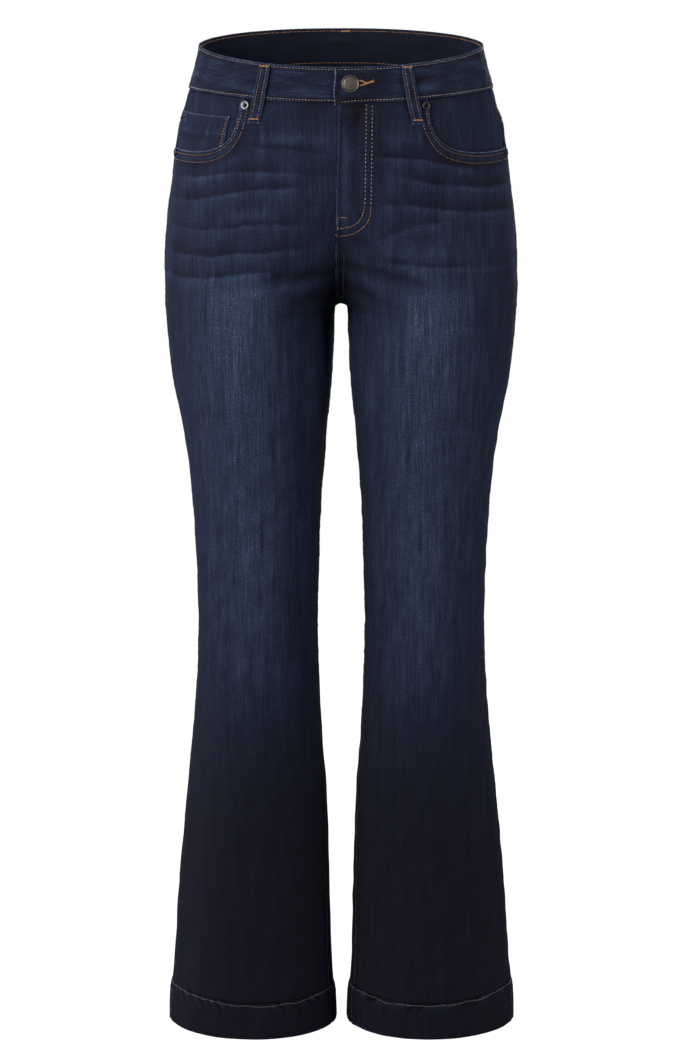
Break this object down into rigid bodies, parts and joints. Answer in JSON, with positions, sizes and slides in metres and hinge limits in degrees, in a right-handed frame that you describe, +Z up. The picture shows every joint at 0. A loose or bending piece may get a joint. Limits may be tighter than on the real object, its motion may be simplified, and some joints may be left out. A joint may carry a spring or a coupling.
{
  "type": "bootcut jeans",
  "caption": "Dark indigo bootcut jeans, filled out as worn with no wearer, mid rise, slanting front pockets, coin pocket, waistband button and fly.",
  "frame": {"origin": "middle of the waist opening, level with its two sides", "axes": "+Z up along the body, -Y towards the front, +X towards the wearer's left"},
  "size_m": [0.3982, 0.249, 1.124],
  "materials": {
    "denim": "dark indigo twill, worn lighter on the thighs and at the edges",
    "button": "antique, matt",
    "rivet": "dull, worn bright",
    "zip": "navy zip tape"
  },
  "bodies": {
    "root": {"front_right": "denim", "front_left": "denim", "back_right": "denim", "back_left": "denim", "yoke_right": "denim", "yoke_left": "denim", "waistband": "denim", "pocket_facing_right": "denim", "pocket_facing_left": "denim", "coin_pocket": "denim", "back_pocket_right": "denim", "back_pocket_left": "denim", "hem_right": "denim", "hem_left": "denim", "belt_loop_front_right": "denim", "belt_loop_front_left": "denim", "belt_loop_side_right": "denim", "belt_loop_side_left": "denim", "belt_loop_centre_back": "denim", "button": "button", "rivet_inner_right": "rivet", "rivet_inner_left": "rivet", "rivet_outer_right": "rivet", "rivet_outer_left": "rivet", "rivet_coin": "rivet", "zip": "zip"}
  },
  "joints": []
}
